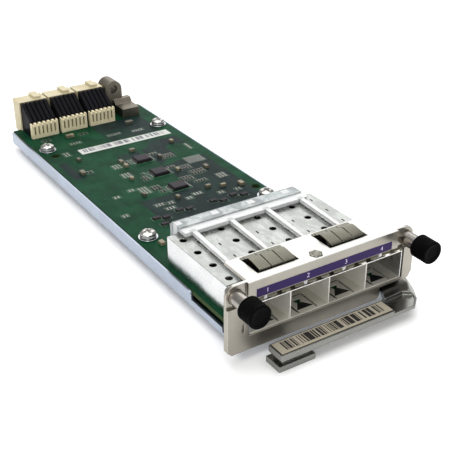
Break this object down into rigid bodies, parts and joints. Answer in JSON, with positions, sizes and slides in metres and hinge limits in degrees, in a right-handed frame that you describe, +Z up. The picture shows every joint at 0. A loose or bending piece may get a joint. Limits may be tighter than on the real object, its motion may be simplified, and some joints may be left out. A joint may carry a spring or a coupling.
{
  "type": "switch line card",
  "caption": "Plug-in network card: board on a sheet tray, caged optical ports behind a metal panel, backplane connectors, thumbscrews and a swinging ejector lever.",
  "frame": {"origin": "middle of the ports at the panel's front face, at the top of the circuit board", "axes": "+X to the right along the panel, +Y from the panel into the chassis, +Z up from the board"},
  "size_m": [0.07, 0.1982, 0.0266],
  "materials": {
    "panel_metal": "satin nickel-plated steel, warm grey",
    "board_green": "green solder mask with darker copper tracks",
    "tray_metal": "zinc-plated sheet with a blue-grey cast",
    "standoff_steel": "plated steel",
    "washer_steel": "bright zinc plate",
    "screw_steel": "bright nickel plate",
    "cage_metal": "bright satin tin-plated sheet",
    "finger_metal": "bright spring strip",
    "clip_metal": "stainless spring strip, olive grey",
    "clear_guide": "clear moulded polycarbonate",
    "led_white": "unlit indicator chip",
    "socket_black": "black moulded plastic",
    "socket_cast": "plain die casting, warm grey",
    "sleeve_metal": "nickel-plated turned sleeve",
    "knob_black": "black moulded grip with fine knurling",
    "housing_cream": "cream glass-filled plastic",
    "wafer_black": "black contact wafers",
    "chip_black": "dark epoxy package",
    "capacitor_tan": "tan ceramic with bright end caps",
    "sticker_paper": "white label with plain bars",
    "port_film": "dark indigo film with pale numerals",
    "lever_film": "beige label with plain bars",
    "lever_cast": "nickel-plated casting, dark grey"
  },
  "bodies": {
    "card": {"base_tray": "tray_metal", "board_screws": "screw_steel", "board_standoffs": "standoff_steel", "board_sticker": "sticker_paper", "cage_base": "cage_metal", "cage_cover": "cage_metal", "cage_divider_1": "cage_metal", "cage_divider_2": "cage_metal", "cage_divider_3": "cage_metal", "chip_capacitors": "capacitor_tan", "circuit_board": "board_green", "driver_chip_1": "chip_black", "driver_chip_2": "chip_black", "driver_chip_3": "chip_black", "emi_fingers": "finger_metal", "flat_washers": "washer_steel", "front_comb_1": "housing_cream", "front_comb_2": "housing_cream", "front_comb_3": "housing_cream", "front_panel": "panel_metal", "ground_clip_left": "clip_metal", "ground_clip_right": "clip_metal", "guide_pin_socket": "socket_cast", "lever_pivot": "screw_steel", "light_guide": "clear_guide", "lock_washers": "washer_steel", "port_label": "port_film", "port_leds": "led_white", "port_socket_1": "socket_black", "port_socket_2": "socket_black", "port_socket_3": "socket_black", "port_socket_4": "socket_black", "rear_housing_1": "housing_cream", "rear_housing_2": "housing_cream", "rear_housing_3": "housing_cream", "resistor_arrays": "chip_black", "thumbscrew_sleeve_left": "sleeve_metal", "thumbscrew_sleeve_right": "sleeve_metal", "wafer_stack_1": "wafer_black", "wafer_stack_2": "wafer_black", "wafer_stack_3": "wafer_black"},
    "left_seat": {"knob_seat_left": "washer_steel"},
    "left_thumbscrew": {"thumb_knob_left": "knob_black", "captive_screw_left": "screw_steel"},
    "right_seat": {"knob_seat_right": "washer_steel"},
    "right_thumbscrew": {"thumb_knob_right": "knob_black", "captive_screw_right": "screw_steel"},
    "lever": {"ejector_lever": "lever_cast", "lever_label": "lever_film"}
  },
  "joints": [
    {"name": "left_thumbscrew_travel", "type": "slide", "parent": "card", "child": "left_seat", "axis": [0, 1, 0], "range_m": [0, 0.0039]},
    {"name": "left_thumbscrew_turn", "type": "hinge", "parent": "left_seat", "child": "left_thumbscrew", "pos_m": [-0.0329, -0.008, 0.0139], "axis": [0, 1, 0], "continuous": true},
    {"name": "right_thumbscrew_travel", "type": "slide", "parent": "card", "child": "right_seat", "axis": [0, 1, 0], "range_m": [0, 0.0039]},
    {"name": "right_thumbscrew_turn", "type": "hinge", "parent": "right_seat", "child": "right_thumbscrew", "pos_m": [0.0297, -0.008, 0.0139], "axis": [0, 1, 0], "continuous": true},
    {"name": "ejector_swing", "type": "hinge", "parent": "card", "child": "lever", "pos_m": [0.027, 0.006, -0.003], "axis": [0, 0, 1], "range_deg": [0, 65]}
  ]
}
